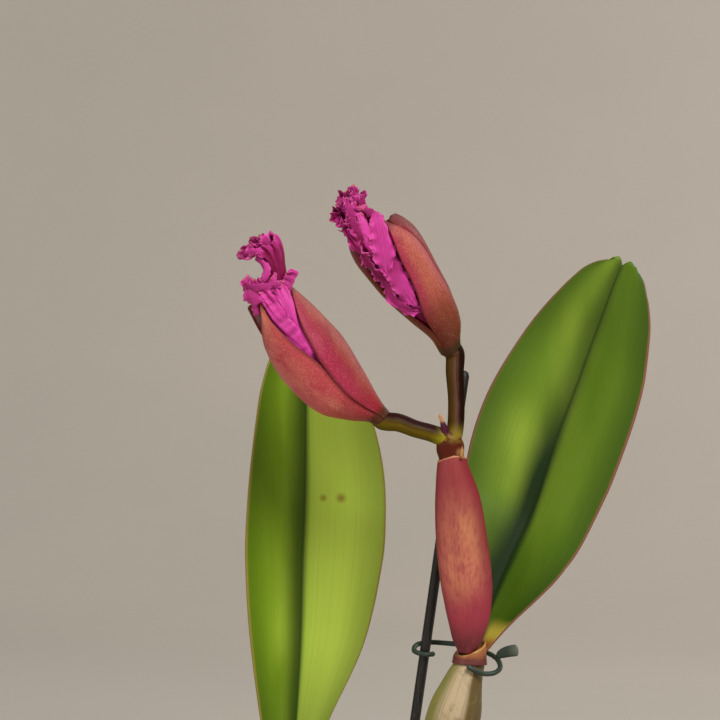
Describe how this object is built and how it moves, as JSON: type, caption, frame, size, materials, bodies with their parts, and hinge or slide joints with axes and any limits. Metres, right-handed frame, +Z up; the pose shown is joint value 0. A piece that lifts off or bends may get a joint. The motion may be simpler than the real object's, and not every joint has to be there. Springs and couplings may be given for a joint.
{
  "type": "cattleya orchid",
  "caption": "Potted cattleya orchid with folded strap leaves and opening magenta buds on a stem from a flat sheath, tied to a stake.",
  "frame": {"origin": "centre of the pot's base, on the surface it stands on", "axes": "+Z up; +X to the plant's right as it is looked at, towards the leaf beside the stem; the plant faces -Y"},
  "size_m": [0.1507, 0.123, 0.3479],
  "materials": {
    "clay": "matte",
    "bark": "matte",
    "roots": "matte",
    "pseudobulb": "satin",
    "husk": "matte",
    "leaf": "satin",
    "stalk": "satin",
    "sheath": "satin",
    "sepal": "satin",
    "petal": "satin",
    "stake": "satin",
    "tie": "satin"
  },
  "bodies": {
    "root": {"pot": "clay", "bark_medium": "bark", "rhizome_and_roots": "roots", "pseudobulb_lead": "pseudobulb", "pseudobulb_second": "pseudobulb", "husk_lead": "husk", "husk_second": "husk", "leaf_right": "leaf", "leaf_left": "leaf", "flower_stem": "stalk", "floral_sheath": "sheath", "pedicel_left": "stalk", "pedicel_right": "stalk", "left_bud_sepal_front": "sepal", "left_bud_sepal_right": "sepal", "left_bud_sepal_back": "sepal", "left_bud_petals": "petal", "right_bud_sepal_front": "sepal", "right_bud_sepal_back": "sepal", "right_bud_sepal_left": "sepal", "right_bud_petals": "petal", "support_stake": "stake", "plant_tie": "tie"}
  },
  "joints": []
}
